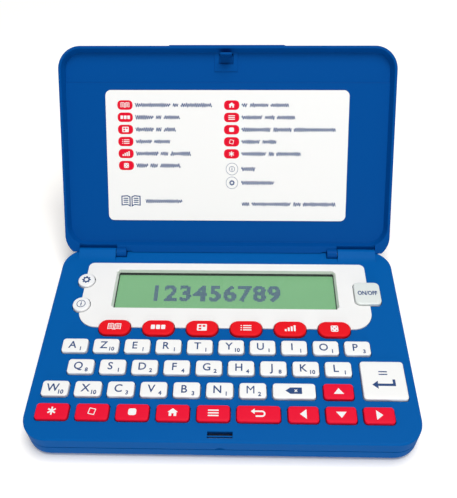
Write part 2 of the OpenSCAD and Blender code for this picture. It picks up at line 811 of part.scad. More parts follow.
// The lid as it lies when closed, with the hinge axis along X through the origin.
module closed_lid() {
    rim_z = lid_gap/2;
    mid_y = hinge_back - case_d/2;
    edge_y = hinge_back - case_d;
    hollow_rear = -rim_back;
    hollow_front = edge_y + rim_w;
    hollow_w = case_w - 2*rim_w;
    hollow_d = hollow_rear - hollow_front;
    hollow_r = corner_r - rim_w;
    hollow_y = (hollow_front + hollow_rear)/2;
    field_z = rim_z + lid_hollow - field_h;
    hook_y = edge_y + blade_front;
    difference() {
        union() {
            difference() {
                translate([0, mid_y, rim_z]) soft_box(case_w, case_d, lid_t, corner_r, lid_round, 0);
                // Hollow for the keys, lower over the card than at the free edge
                translate([0, hollow_y, rim_z])
                    sloped_pit(hollow_w, hollow_d, lid_hollow - field_h, hollow_r, hollow_slope);
                translate([0, 0, field_z - cut]) linear_extrude(field_h + cut)
                    intersection() {
                        translate([0, hollow_y])
                            round_rect(hollow_w - 2*hollow_slope, hollow_d - 2*hollow_slope,
                                hollow_r - hollow_slope);
                        translate([-case_w/2, edge_y]) square([case_w, -field_end - edge_y]);
                    }
                // Notch that nests on the rear edge of the open case
                rotate([tilt, 0, 0]) translate([-far/2, -stop_gap, -far + hinge_back + stop_gap])
                    cube([far, far, far]);
                both_sides() rod(barrel_x - side_gap, barrel_end + side_gap, swing_r);
                both_sides() fairing(swing_gap, side_gap);
            }
            // Knuckles and their arms
            both_sides() {
                rod(notch_x + side_gap, barrel_x - side_gap, barrel_r);
                translate([notch_x + side_gap, -barrel_r, 0])
                    cube([knuckle_w, barrel_r + arm_back, rim_z + lid_hollow + cut]);
            }
            // Thumb lip on the free edge
            translate([-lip_w/2, edge_y - lip_out, rim_z + lip_low])
                cube([lip_w, lip_out + rim_w/2, lip_tall]);
            // Pad round the hook
            translate([latch_x - pad_w/2, edge_y + rim_w/2, rim_z + lid_hollow - pad_h])
                cube([pad_w, pad_d + rim_w/2, pad_h + cut/2]);
        }
        both_sides() rod(knuckle_x - knuckle_w, knuckle_x + knuckle_w, pin_r + pin_run);
        translate([latch_x - pocket_w/2, hook_y - hook_gap, rim_z + lid_hollow - cut])
            cube([pocket_w, pocket_d, pocket_h + cut]);
        translate([0, -card_mid, field_z - cut]) linear_extrude(card_seat + cut)
            round_rect(card_w + 2*fit_gap, card_d + 2*fit_gap, card_r + fit_gap);
    }
    // Latch hook with its barb
    translate([latch_x - hook_w/2, hook_y, -hook_reach])
        cube([hook_w, hook_t, hook_reach + rim_z + lid_hollow + pocket_h + cut/2]);
    translate([latch_x - hook_w/2, hook_y - barb, -hook_reach])
        cube([hook_w, hook_t, hook_reach - bar_low - bar_h - hook_gap]);
}

// Turns what is drawn for the closed lid to the open stop.
module opened() {
    at_axis() rotate([-open_angle, 0, 0]) children();
}

module lid() {
    color("#044D98") opened() closed_lid();
}

module label_card() {
    color("white")
    opened() translate([0, -card_mid, lid_gap/2 + lid_hollow - field_h + card_seat - card_t])
        linear_extrude(card_t) round_rect(card_w, card_d, card_r);
}

module hinge_pins() {
    color("silver")
    both_sides() at_axis() rod(knuckle_x - knuckle_w/2 + side_gap,
        knuckle_x - knuckle_w/2 + pin_len - side_gap, pin_r);
}

module battery_cover() {
    scoop_r = 9;
    scoop_deep = 0.6;
    color("#005FAC")
    at_bay() difference() {
        union() {
            translate([0, 0, cover_low]) linear_extrude(cover_t)
                round_rect(cover_hole_w - 2*cover_gap, cover_hole_d - 2*cover_gap,
                    cover_r - cover_gap);
            for (s = [-1, 1]) {
                translate([s*tongue_x - tongue_w/2, -cover_hole_d/2 + cover_gap - tongue_out,
                        floor_t + cover_low/2])
                    cube([tongue_w, tongue_out + bay_wall/2, tongue_t]);
                translate([s*tongue_x - tongue_w/2, -cover_hole_d/2 + cover_gap, cover_low])
                    cube([tongue_w, bay_wall/2, cover_t + tongue_t]);
            }
            translate([-catch_w/2, cover_hole_d/2 - cover_gap - catch_t, cover_low])
                cube([catch_w, catch_t, cover_t + catch_h - cover_gap]);
        }
        translate([0, cover_hole_d/2 - 3, cover_low + scoop_deep - scoop_r])
            rotate([0, 90, 0]) translate([0, 0, -catch_w/2])
                cylinder(h = catch_w, r = scoop_r);
    }
}

module coin_cells() {
    rim = 1.2;
    step = 0.4;
    color("silver")
    at_bay() for (s = [-1, 1])
        translate([s*(cell_dia + cell_space)/2, 0, cell_z]) {
            cylinder(h = cell_t - step, r = cell_dia/2);
            cylinder(h = cell_t, r = cell_dia/2 - rim);
        }
}

module case_screws() {
    slot = 0.5;
    color("silver")
    at_posts() difference() {
        union() {
            translate([0, 0, head_low]) cylinder(h = head_h, r = head_r);
            translate([0, 0, head_low + head_h/2])
                cylinder(h = head_h/2 + screw_len, r = screw_r);
        }
        for (a = [0, 90])
            rotate([0, 0, a]) translate([-head_r*0.7, -slot/2, head_low - cut])
                cube([head_r*1.4, slot, cut + head_h/2]);
    }
}

// One key: cap through the face plate, and the flange under it.
module key(k) {
    color(k[7]) {
        translate([k[1], front + k[2], flange_z])
            soft_box(k[3], k[4], base_h + k[6] - flange_z, k[5], key_round, 0);
        translate([0, 0, flange_z]) linear_extrude(flange_t) key_outline(k, flange_w);
    }
}

lower_housing();
upper_housing();
display_bezel();
display_window();
lcd_panel();
circuit_board();
key_mat();
lid();
label_card();
hinge_pins();
battery_cover();
coin_cells();
case_screws();
for (k = keys)
    key(k);
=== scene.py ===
import json
import math

import bmesh
import bpy
from mathutils import Matrix, Vector

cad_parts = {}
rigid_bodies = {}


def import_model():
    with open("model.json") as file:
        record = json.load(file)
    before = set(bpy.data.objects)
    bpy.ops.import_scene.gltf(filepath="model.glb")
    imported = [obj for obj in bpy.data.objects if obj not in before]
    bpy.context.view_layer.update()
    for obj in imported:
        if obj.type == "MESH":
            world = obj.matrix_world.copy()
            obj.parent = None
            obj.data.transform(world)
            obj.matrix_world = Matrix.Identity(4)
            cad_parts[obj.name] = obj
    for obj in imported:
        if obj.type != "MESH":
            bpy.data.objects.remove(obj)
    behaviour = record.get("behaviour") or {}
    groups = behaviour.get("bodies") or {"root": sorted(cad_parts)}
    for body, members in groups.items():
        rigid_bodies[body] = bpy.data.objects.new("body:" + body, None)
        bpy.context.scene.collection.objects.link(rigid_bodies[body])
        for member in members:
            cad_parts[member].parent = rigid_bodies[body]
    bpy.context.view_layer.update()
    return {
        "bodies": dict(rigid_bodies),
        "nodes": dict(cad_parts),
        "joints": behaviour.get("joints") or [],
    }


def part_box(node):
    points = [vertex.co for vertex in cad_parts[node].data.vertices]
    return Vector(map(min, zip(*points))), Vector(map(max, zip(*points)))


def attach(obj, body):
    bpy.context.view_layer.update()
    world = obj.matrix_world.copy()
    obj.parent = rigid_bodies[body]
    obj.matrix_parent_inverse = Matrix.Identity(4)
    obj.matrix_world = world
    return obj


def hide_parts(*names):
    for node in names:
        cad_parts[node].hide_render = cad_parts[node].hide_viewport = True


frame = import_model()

MM = 0.001
own_objects = set(frame["nodes"].values()) | set(frame["bodies"].values())
for leftover in [o for o in bpy.data.objects if o not in own_objects]:
    bpy.data.objects.remove(leftover)


# Upper and lower shell and battery cover: one blue polystyrene, injection moulded in
# spark-eroded tools that leave a fine even grain. Six screws from below hold the shells.
CASE_BLUE = "#005AA5"
CASE_ROUGHNESS = 0.46
CASE_GRAIN = 0.14 * MM
GRAIN_DEPTH = 0.012 * MM
SOFT_SPECULAR = 0.04
EDGE_BREAK = 0.12 * MM
SHARP_FROM = math.radians(42)
SAME_POINT = 0.001 * MM
SAME_PLANE = math.radians(0.3)
MOTTLE_TONE = [0.72, 0.74, 0.8, 1]
GLOSS_DRIFT = 0.07
GLOSS_SPECKLE = 0.05


def colour(code):
    """Linear colour of a hex code."""
    channels = [int(code[i:i + 2], 16) / 255 for i in (1, 3, 5)]
    return [c / 12.92 if c <= 0.04045 else ((c + 0.055) / 1.055) ** 2.4 for c in channels] + [1]


def add_node(tree, kind, inputs=None, **settings):
    """New node; inputs gives sockets their value, or the output that feeds them."""
    made = tree.nodes.new(kind)
    for name, value in settings.items():
        setattr(made, name, value)
    for socket, value in (inputs or {}).items():
        if isinstance(value, bpy.types.NodeSocket):
            tree.links.new(value, made.inputs[socket])
        else:
            made.inputs[socket].default_value = value
    return made


def new_group(name, kind, inputs, outputs):
    """Node group with named sockets; returns it, its inputs and its outputs."""
    group = bpy.data.node_groups.new(name, kind)
    for label, socket_type, value in inputs:
        socket = group.interface.new_socket(label, in_out="INPUT", socket_type=socket_type)
        if value is not None:
            socket.default_value = value
    for label, socket_type in outputs:
        group.interface.new_socket(label, in_out="OUTPUT", socket_type=socket_type)
    return group, group.nodes.new("NodeGroupInput").outputs, group.nodes.new("NodeGroupOutput").inputs


def maths(tree, operation, *values):
    """Result of a maths node on the given sockets or numbers."""
    return add_node(tree, "ShaderNodeMath", dict(enumerate(values)), operation=operation).outputs[0]


def mixed(tree, share, first, second, way="MIX"):
    """Colour made of two colours; the share is that of the second."""
    return add_node(tree, "ShaderNodeMix", {"Factor": share, "A": first, "B": second},
                    data_type="RGBA", blend_type=way).outputs["Result"]


def spread(tree, value, low, high):
    """A value from 0 to 1, brought into the given range."""
    return add_node(tree, "ShaderNodeMapRange", {"Value": value, "To Min": low, "To Max": high}).outputs[0]


def object_place(tree):
    """Place on the piece, in metres."""
    return add_node(tree, "ShaderNodeTexCoord").outputs["Object"]


def noise(tree, place, scale, detail):
    """Soft random pattern with that many cells to the metre."""
    return add_node(tree, "ShaderNodeTexNoise",
                    {"Vector": place, "Scale": scale, "Detail": detail}).outputs["Fac"]


def moulded_grain_group():
    """Grain of a moulded face, with slow drifts of tone and gloss across it."""
    group, given, result = new_group(
        "moulded_grain", "ShaderNodeTree",
        [("Colour", "NodeSocketColor", None), ("Roughness", "NodeSocketFloat", 0.4),
         ("Grain Scale", "NodeSocketFloat", 7000.0), ("Mottle", "NodeSocketFloat", 0.1)],
        [("Colour", "NodeSocketColor"), ("Roughness", "NodeSocketFloat"), ("Height", "NodeSocketFloat")])
    place = object_place(group)
    fine = noise(group, place, scale=given["Grain Scale"], detail=2.0)
    broad = noise(group, place, scale=45.0, detail=3.0)
    darker = mixed(group, 1.0, given["Colour"], MOTTLE_TONE, "MULTIPLY")
    tone = mixed(group, maths(group, "MULTIPLY", broad, given["Mottle"]), given["Colour"], darker)
    drift = spread(group, broad, -GLOSS_DRIFT, GLOSS_DRIFT)
    speckle = spread(group, fine, -GLOSS_SPECKLE, GLOSS_SPECKLE)
    gloss = maths(group, "ADD", maths(group, "ADD", drift, speckle), given["Roughness"])
    group.links.new(tone, result["Colour"])
    group.links.new(gloss, result["Roughness"])
    group.links.new(fine, result["Height"])
    return group


moulded_grain = moulded_grain_group()


def new_material(name):
    """Empty material with its shader; returns the material, its tree and the shader."""
    material = bpy.data.materials.new(name)
    material.use_nodes = True
    return material, material.node_tree, material.node_tree.nodes["Principled BSDF"]


def moulded_plastic(name, tone, roughness, grain=CASE_GRAIN, depth=GRAIN_DEPTH, mottle=0.12, specular=0.5):
    """Injection-moulded plastic with the grain of its tool."""
    material, tree, shader = new_material(name)
    surface = add_node(tree, "ShaderNodeGroup",
                       {"Colour": colour(tone), "Roughness": roughness, "Grain Scale": 1 / grain,
                        "Mottle": mottle}, node_tree=moulded_grain)
    bump = add_node(tree, "ShaderNodeBump",
                    {"Height": surface.outputs["Height"], "Distance": depth, "Strength": 1.0})
    tree.links.new(surface.outputs["Colour"], shader.inputs["Base Color"])
    tree.links.new(surface.outputs["Roughness"], shader.inputs["Roughness"])
    tree.links.new(bump.outputs["Normal"], shader.inputs["Normal"])
    shader.inputs["Specular IOR Level"].default_value = specular
    return material


def shading_group():
    """Smooth shading, with a crease at each edge that turns by more than the angle."""
    group, given, result = new_group(
        "shade_by_angle", "GeometryNodeTree",
        [("Geometry", "NodeSocketGeometry", None), ("Angle", "NodeSocketFloat", SHARP_FROM)],
        [("Geometry", "NodeSocketGeometry")])
    smooth = add_node(group, "GeometryNodeSetShadeSmooth",
                      {"Geometry": given["Geometry"], "Shade Smooth": True}, domain="FACE")
    angle = add_node(group, "GeometryNodeInputMeshEdgeAngle")
    sharp = add_node(group, "FunctionNodeCompare",
                     {0: angle.outputs["Unsigned Angle"], 1: given["Angle"]},
                     data_type="FLOAT", operation="GREATER_THAN")
    creased = add_node(group, "GeometryNodeSetShadeSmooth",
                       {"Geometry": smooth.outputs[0], "Selection": sharp.outputs[0],
                        "Shade Smooth": False}, domain="EDGE")
    group.links.new(creased.outputs[0], result["Geometry"])
    return group


shade_by_angle = shading_group()


def dress_node(name, material, edge=EDGE_BREAK):
    """Gives a CAD node its material, tiny moulding radii on its edges and smooth curves."""
    piece = frame["nodes"][name]
    for slot in piece.material_slots:
        slot.material = material
    weld = piece.modifiers.new("joined_corners", "WELD")
    weld.merge_threshold = SAME_POINT
    flats = piece.modifiers.new("whole_flats", "DECIMATE")
    flats.decimate_type = "DISSOLVE"
    flats.angle_limit = SAME_PLANE
    if edge:
        bevel = piece.modifiers.new("broken_edges", "BEVEL")
        bevel.width = edge
        bevel.segments = 2
        bevel.limit_method = "ANGLE"
        bevel.angle_limit = SHARP_FROM
        bevel.use_clamp_overlap = False
        bevel.loop_slide = False
    shading = piece.modifiers.new("shading", "NODES")
    shading.node_group = shade_by_angle
    flat = piece.modifiers.new("flat_faces", "WEIGHTED_NORMAL")
    flat.keep_sharp = True


case_blue = moulded_plastic("case_blue", CASE_BLUE, CASE_ROUGHNESS, specular=SOFT_SPECULAR)
for shell in ("lower_housing", "upper_housing", "battery_cover"):
    dress_node(shell, case_blue)


# Lid: the same plastic, moulded as one shallow tray with its rim, hinge knuckles and latch
# hook. Its face stands away from the light when open, so its blue is set a shade deeper than the case's:
# painted shade.
LID_BLUE_PAINTED_SHADE = "#004A93"
# The deeper blue is painted shade, not a different plastic.
lid_blue = moulded_plastic("lid_blue", LID_BLUE_PAINTED_SHADE, CASE_ROUGHNESS, specular=SOFT_SPECULAR)
dress_node("lid", lid_blue)


# Bezel: white polystyrene inlay round the display, snapped into its recess in the face.
# Its surface is smoother than the case, with only a faint grain.
BEZEL_WHITE = "#F0F0EE"
bezel_white = moulded_plastic("bezel_white", BEZEL_WHITE, 0.34, grain=0.2 * MM, depth=0.004 * MM,
                              mottle=0.05)
dress_node("display_bezel", bezel_white)


# Window: a clear acrylic pane under the bezel, hard-coated and polished on both faces.
# What little of it shows is a faint cool tint and its gloss.
PANE_ALPHA = 0.03


def clear_acrylic():
    """Polished clear sheet with a breath of haze from handling."""
    material, tree, shader = new_material("window_clear")
    haze = noise(tree, object_place(tree), scale=160.0, detail=4.0)
    tree.links.new(spread(tree, haze, 0.02, 0.09), shader.inputs["Roughness"])
    tree.links.new(spread(tree, haze, 0.8 * PANE_ALPHA, 1.2 * PANE_ALPHA), shader.inputs["Alpha"])
    shader.inputs["Base Color"].default_value = colour("#DFE8E6")
    return material


dress_node("display_window", clear_acrylic(), edge=0.05 * MM)


# Display: two sheets of glass with a reflective green backing, its dot cells just visible
# and a dark seal round its edge, widened along the top as painted shadow of the window's rear wall.
# Rubber contact strips under both long edges carry it.
DISPLAY_GREEN = "#7AB680"
DISPLAY_DEEPER = "#72AE78"
GAP_GREEN = "#88BF8C"
GAP_WIDTH = 0.16
GAP_STRENGTH = 0.25
# Dark of the edge seal; along the top of the display the band is also painted shadow of the window's rear
# wall.
SEAL_AND_SHADOW_DARK = "#26362C"
SEAL_AND_SHADOW_FREE = (42.5 * MM, 9.05 * MM)
SEAL_AND_SHADOW_MIDDLE = 20.95 * MM
CELL_PITCH = 0.5 * MM


def cell_lines(tree, place, axis):
    """Mask of the gaps between the dot cells along one axis."""
    along = add_node(tree, "ShaderNodeSeparateXYZ", {0: place}).outputs[axis]
    part = maths(tree, "FRACT", maths(tree, "MULTIPLY", along, 1 / CELL_PITCH))
    return maths(tree, "LESS_THAN", part, GAP_WIDTH)


def edge_seal(tree, place):
    """Mask of the seal and of the painted shadow along its top, which lies outside a rectangle given by its
    half sides.
    """
    axes = add_node(tree, "ShaderNodeSeparateXYZ", {0: place}).outputs
    sideways = maths(tree, "ABSOLUTE", axes["X"])
    lengthways = maths(tree, "ABSOLUTE", maths(tree, "SUBTRACT", axes["Y"], SEAL_AND_SHADOW_MIDDLE))
    return maths(tree, "MAXIMUM", maths(tree, "GREATER_THAN", sideways, SEAL_AND_SHADOW_FREE[0]),
                 maths(tree, "GREATER_THAN", lengthways, SEAL_AND_SHADOW_FREE[1]))


def display_glass():
    """Green reflective display with faint cells, a slightly uneven backing and a dark seal, wider along the
    top as painted shadow.
    """
    material, tree, shader = new_material("display_glass")
    place = object_place(tree)
    gaps = maths(tree, "MAXIMUM", cell_lines(tree, place, "X"), cell_lines(tree, place, "Y"))
    uneven = noise(tree, place, scale=30.0, detail=2.0)
    backing = mixed(tree, uneven, colour(DISPLAY_GREEN), colour(DISPLAY_DEEPER))
    celled = mixed(tree, maths(tree, "MULTIPLY", gaps, GAP_STRENGTH), backing, colour(GAP_GREEN))
    # The dark band is the seal, and along the top also painted shadow of the window's rear wall.
    sealed_and_shaded = mixed(tree, edge_seal(tree, place), celled, colour(SEAL_AND_SHADOW_DARK))
    tree.links.new(sealed_and_shaded, shader.inputs["Base Color"])
    tree.links.new(spread(tree, uneven, 0.2, 0.32), shader.inputs["Roughness"])
    shader.inputs["Specular IOR Level"].default_value = 0.2
    return material


dress_node("lcd_panel", display_glass(), edge=0)


# Lit cells of the display: plain numerals made of square dots in the liquid crystal layer,
# a hair above the backing. They are one sheet that stays in the glass.
READOUT = "123456789"
READOUT_HEIGHT = 7.4 * MM
READOUT_X = -3.2 * MM
READOUT_Y = 0.2 * MM
READOUT_BOLDER = 0.035
READOUT_APART = 1.12
GRID_WIDTH = 64 * MM
GRID_DEPTH = 12 * MM
CELL_SIZE = 0.47 * MM
CELL_THICK = 0.02 * MM


def flat_solid(curve, thick):
    """Mesh of a filled flat curve or text drawn in millimetres, as a closed sheet."""
    curve.extrude = thick / 2 / MM
    holder = bpy.data.objects.new("outline", curve)
    bpy.context.scene.collection.objects.link(holder)
    bpy.context.view_layer.update()
    mesh = bpy.data.meshes.new_from_object(holder.evaluated_get(bpy.context.evaluated_depsgraph_get()))
    bpy.data.objects.remove(holder)
    bpy.data.curves.remove(curve)
    work = bmesh.new()
    work.from_mesh(mesh)
    bmesh.ops.remove_doubles(work, verts=work.verts, dist=1e-4)
    bmesh.ops.recalc_face_normals(work, faces=work.faces)
    work.to_mesh(mesh)
    work.free()
    mesh.transform(Matrix.Scale(MM, 4))
    return mesh


def lettering(text, height, thick, bolder, apart=1.0):
    """Mesh of plain characters with that capital height, centred on the origin."""
    def outline(body, size):
        curve = bpy.data.curves.new("characters", "FONT")
        curve.body = body
        curve.size = size
        curve.resolution_u = 4
        curve.offset = bolder * size
        curve.space_character = apart
        return curve
    plain = flat_solid(outline("H", 1.0), 0.0)
    capital = max(v.co.y for v in plain.vertices)
    bpy.data.meshes.remove(plain)
    mesh = flat_solid(outline(text, height / capital), thick)
    middle = (max(v.co.x for v in mesh.vertices) + min(v.co.x for v in mesh.vertices)) / 2
    mesh.transform(Matrix.Translation((-middle, -height / 2, 0)))
    return mesh


def new_piece(name, mesh, *materials):
    """Object at the origin, smooth but for its creases, with its materials in order."""
    piece = bpy.data.objects.new(name, mesh)
    bpy.context.scene.collection.objects.link(piece)
    for material in materials:
        mesh.materials.append(material)
    mesh.shade_smooth()
    mesh.set_sharp_from_angle(angle=SHARP_FROM)
    return piece


def dot_group(material):
    """Square dots on a grid, kept where they lie under the given characters."""
    group, given, result = new_group(
        "dot_matrix", "GeometryNodeTree",
        [("Geometry", "NodeSocketGeometry", None), ("Characters", "NodeSocketObject", None),
         ("Width", "NodeSocketFloat", 0.05), ("Depth", "NodeSocketFloat", 0.01),
         ("Pitch", "NodeSocketFloat", CELL_PITCH), ("Cell", "NodeSocketFloat", CELL_SIZE),
         ("Thickness", "NodeSocketFloat", CELL_THICK)],
        [("Geometry", "NodeSocketGeometry")])

    def count(length):
        return maths(group, "ROUND", maths(group, "DIVIDE", length, given["Pitch"]))

    grid = add_node(group, "GeometryNodeMeshGrid",
                    {"Size X": given["Width"], "Size Y": given["Depth"],
                     "Vertices X": count(given["Width"]), "Vertices Y": count(given["Depth"])})
    drawn = add_node(group, "GeometryNodeObjectInfo", {"Object": given["Characters"]})
    ray = add_node(group, "GeometryNodeRaycast",
                   {"Target Geometry": drawn.outputs["Geometry"], "Ray Direction": [0, 0, -1],
                    "Source Position": add_node(group, "ShaderNodeVectorMath", {
                        0: add_node(group, "GeometryNodeInputPosition").outputs[0],
                        1: [0, 0, 1]}).outputs[0],
                    "Ray Length": 2.0})
    cell = add_node(group, "GeometryNodeMeshCube",
                    {"Size": add_node(group, "ShaderNodeCombineXYZ",
                                      {"X": given["Cell"], "Y": given["Cell"],
                                       "Z": given["Thickness"]}).outputs[0]})
    dots = add_node(group, "GeometryNodeInstanceOnPoints",
                    {"Points": grid.outputs["Mesh"], "Selection": ray.outputs["Is Hit"],
                     "Instance": cell.outputs["Mesh"]})
    real = add_node(group, "GeometryNodeRealizeInstances", {"Geometry": dots.outputs[0]})
    inked = add_node(group, "GeometryNodeSetMaterial",
                     {"Geometry": real.outputs[0], "Material": material})
    group.links.new(inked.outputs[0], result["Geometry"])
    return group


def socket_id(group, label):
    """Identifier of a group's input, which is how a modifier names it."""
    return next(item.identifier for item in group.interface.items_tree
                if item.item_type == "SOCKET" and item.in_out == "INPUT" and item.name == label)


def run_group(group, base, **values):
    """Plain mesh of what a geometry group makes from a base mesh and its named inputs."""
    holder = bpy.data.objects.new("worked", base)
    bpy.context.scene.collection.objects.link(holder)
    modifier = holder.modifiers.new("work", "NODES")
    modifier.node_group = group
    for label, value in values.items():
        modifier[socket_id(group, label.replace("_", " "))] = value
    bpy.context.view_layer.update()
    mesh = bpy.data.meshes.new_from_object(holder.evaluated_get(bpy.context.evaluated_depsgraph_get()))
    holder.modifiers.remove(modifier)
    bpy.data.objects.remove(holder)
    return mesh


def crystal():
    """Liquid crystal turned dark: slate blue, a little patchy."""
    material, tree, shader = new_material("display_dots")
    patchy = noise(tree, object_place(tree), scale=400.0, detail=2.0)
    tone = mixed(tree, patchy, colour("#223E68"), colour("#345278"))
    tree.links.new(tone, shader.inputs["Base Color"])
    tree.links.new(spread(tree, patchy, 0.3, 0.45), shader.inputs["Roughness"])
    return material


def readout():
    """The numerals in dots, in the middle of the window on the glass."""
    dark = crystal()
    drawn = lettering(READOUT, READOUT_HEIGHT, CELL_THICK, READOUT_BOLDER, READOUT_APART)
    characters = bpy.data.objects.new("characters", drawn)
    bpy.context.scene.collection.objects.link(characters)
    mesh = run_group(dot_group(dark), bpy.data.meshes.new("dots"), Characters=characters,
                     Width=GRID_WIDTH, Depth=GRID_DEPTH)
    bpy.data.objects.remove(characters)
    low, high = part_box("lcd_panel")
    middle = (low + high) / 2
    mesh.materials.clear()
    mesh.transform(Matrix.Translation((middle.x + READOUT_X, middle.y + READOUT_Y, high.z)))
    piece = new_piece("display_dots", mesh, dark)
    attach(piece, "case")


readout()


# Keycaps: moulded in white or red, each with a flange that the face plate holds in and a
# slightly crowned top. The characters and signs are printed on top in a thin hard ink.
FLANGE_W = 0.45 * MM
FLANGE_T = 0.7 * MM
DRAFT = 0.1 * MM
CROWN = 0.05 * MM
CROWN_RINGS = (0.8, 0.55, 0.3, 0.1)
EDGE_STEPS = 5
LEAST_RADIUS = 0.05 * MM
KEY_ROUGHNESS = 0.36
BUTTON_ROUGHNESS = 0.3
KEY_GRAIN = 0.12 * MM
INK_RISE = 0.012 * MM
INK_DEEP = 0.1 * MM
LETTER_HEIGHT = 2.85 * MM
LETTER_PLACE = (-0.8 * MM, 0.2 * MM)
VALUE_HEIGHT = 1.5 * MM
VALUE_PLACE = (2.25 * MM, -1.4 * MM)
LETTER_WIDER = 0.012
VALUE_WIDER = 0.03
SWITCH_HEIGHT = 1.9 * MM
SWITCH_NARROWED = 0.77
LETTER_VALUES = dict(a=1, z=10, e=1, r=1, t=1, y=10, u=1, i=1, o=1, p=3,
                     q=8, s=1, d=2, f=4, g=2, h=4, j=8, k=10, l=1,
                     w=10, x=10, c=3, v=4, b=3, n=1, m=2)

# The filled outline of an M breaks when it is widened.
NOT_WIDENED = "m"

# Corner radius and edge radius of each kind of key.
PLAIN_KEY = (1.2 * MM, 0.35 * MM)
OVAL_KEY = (3.15 * MM, 0.5 * MM)
ROUND_BUTTON = (3.45 * MM, 0.5 * MM)
POWER_BUTTON = (2.0 * MM, 0.45 * MM)

key_white = moulded_plastic("key_white", "#F2F2F0", KEY_ROUGHNESS, KEY_GRAIN, 0.004 * MM, mottle=0.04)
key_red = moulded_plastic("key_red", "#EA1435", KEY_ROUGHNESS, KEY_GRAIN, 0.004 * MM, mottle=0.08,
                          specular=0.06)
oval_red = moulded_plastic("oval_red", "#E81622", KEY_ROUGHNESS, KEY_GRAIN, 0.003 * MM, mottle=0.08,
                           specular=0.06)
button_white = moulded_plastic("button_white", "#F0F1F1", BUTTON_ROUGHNESS, KEY_GRAIN, 0.003 * MM,
                               mottle=0.04)
button_grey = moulded_plastic("button_grey", "#DEE4E0", BUTTON_ROUGHNESS, KEY_GRAIN, 0.003 * MM,
                              mottle=0.06)


def ink(name, tone):
    """Pad-printed ink: thin, a little uneven in tone, duller than what it lies on."""
    return moulded_plastic(name, tone, 0.42, grain=0.05 * MM, depth=0.001 * MM, mottle=0.2, specular=0.06)


ink_blue = ink("ink_blue", "#2F4B7C")
ink_white = ink("ink_white", "#F4F4F2")
ink_red = ink("ink_red", "#E3122F")


def rounded_outline(half_w, half_d, radius, steps=6):
    """Points of a rounded rectangle about the origin, anticlockwise."""
    points = []
    for corner, (sx, sy) in enumerate(((1, 1), (-1, 1), (-1, -1), (1, -1))):
        for step in range(steps + 1):
            turn = math.radians(90 * (corner + step / steps))
            points.append((sx * (half_w - radius) + radius * math.cos(turn),
                           sy * (half_d - radius) + radius * math.sin(turn)))
    return points


def loft(rings):
    """Closed work mesh through rings of equally many points, flat at both ends."""
    work = bmesh.new()
    loops = [[work.verts.new(point) for point in ring] for ring in rings]
    for low, high in zip(loops, loops[1:]):
        for i in range(len(low)):
            j = (i + 1) % len(low)
            work.faces.new((low[i], low[j], high[j], high[i]))
    work.faces.new(loops[0])
    work.faces.new(loops[-1])
    bmesh.ops.remove_doubles(work, verts=work.verts, dist=1e-7)
    bmesh.ops.recalc_face_normals(work, faces=work.faces)
    return work


def keycap(node, radius, edge):
    """Cap in the place of a key's node: flange, drafted wall, rounded edge, crowned top."""
    low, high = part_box(node)
    middle = (low + high) / 2
    half_w = (high.x - low.x) / 2 - FLANGE_W
    half_d = (high.y - low.y) / 2 - FLANGE_W
    radius = min(radius, half_w, half_d)

    def ring(inset, z, scale=1.0):
        outline = rounded_outline(half_w - inset, half_d - inset, max(radius - inset, LEAST_RADIUS))
        return [(middle.x + scale * x, middle.y + scale * y, z) for x, y in outline]

    ledge = low.z + FLANGE_T
    rings = [ring(-FLANGE_W, low.z), ring(-FLANGE_W, ledge), ring(0, ledge)]
    shoulder = high.z - CROWN - edge
    for step in range(EDGE_STEPS + 1):
        turn = math.radians(90 * step / EDGE_STEPS)
        rings.append(ring(DRAFT + edge * (1 - math.cos(turn)), shoulder + edge * math.sin(turn)))
    for scale in CROWN_RINGS:
        rings.append(ring(DRAFT + edge, high.z - CROWN * scale ** 2, scale))
    return loft(rings), Vector((middle.x, middle.y, high.z))


def printed(work, mesh, place, material_index):
    """Adds a flat print to a work mesh, sunk a little so that its sides close on the piece."""
    for vertex in mesh.vertices:
        vertex.co.z = INK_RISE if vertex.co.z > 0 else -INK_DEEP
    mesh.transform(Matrix.Translation(place))
    for polygon in mesh.polygons:
        polygon.material_index = material_index
    work.from_mesh(mesh)
    bpy.data.meshes.remove(mesh)


def signs(outlines):
    """Mesh of a flat sign; an outline inside another is a hole in it."""
    curve = bpy.data.curves.new("sign", "CURVE")
    curve.dimensions = "2D"
    curve.fill_mode = "BOTH"
    for points in outlines:
        spline = curve.splines.new("POLY")
        spline.points.add(len(points) - 1)
        for target, (x, y) in zip(spline.points, points):
            target.co = (x, y, 0, 1)
        spline.use_cyclic_u = True
    return flat_solid(curve, INK_DEEP)


def disc(x, y, radius, steps=28):
    """Circle, in millimetres."""
    turns = [2 * math.pi * i / steps for i in range(steps)]
    return [(x + radius * math.cos(turn), y + radius * math.sin(turn)) for turn in turns]


def slab(x, y, w, h, corner=0.12, turn=0.0):
    """Rounded bar or square about a point, turned by degrees, in millimetres."""
    c, s = math.cos(math.radians(turn)), math.sin(math.radians(turn))
    return [(x + c * px - s * py, y + s * px + c * py)
            for px, py in rounded_outline(w / 2, h / 2, min(corner, w / 2, h / 2), 3)]


def moved(outlines, x, y, size):
    """The outlines, scaled and shifted."""
    return [[(x + size * px, y + size * py) for px, py in points] for points in outlines]


def star(arms=6, reach=1.45, width=0.52):
    """Asterisk: straight arms that meet in the middle."""
    points = []
    half = width / 2
    inner = half / math.sin(math.pi / arms)
    for arm in range(arms):
        along = math.radians(90 + 360 * arm / arms)
        side = along + math.pi / 2
        for sign in (-1, 1):
            points.append((reach * math.cos(along) + sign * half * math.cos(side),
                           reach * math.sin(along) + sign * half * math.sin(side)))
        between = along + math.pi / arms
        points.append((inner * math.cos(between), inner * math.sin(between)))
    return [points]


def gear(teeth=8, outer=1.7, root=1.32, hole=0.72):
    """Toothed wheel with a hole."""
    points = []
    for tooth in range(teeth):
        for shift, radius in ((-0.3, root), (-0.2, outer), (0.2, outer), (0.3, root)):
            turn = 2 * math.pi * (tooth + shift) / teeth
            points.append((radius * math.cos(turn), radius * math.sin(turn)))
    return [points, disc(0, 0, hole)]


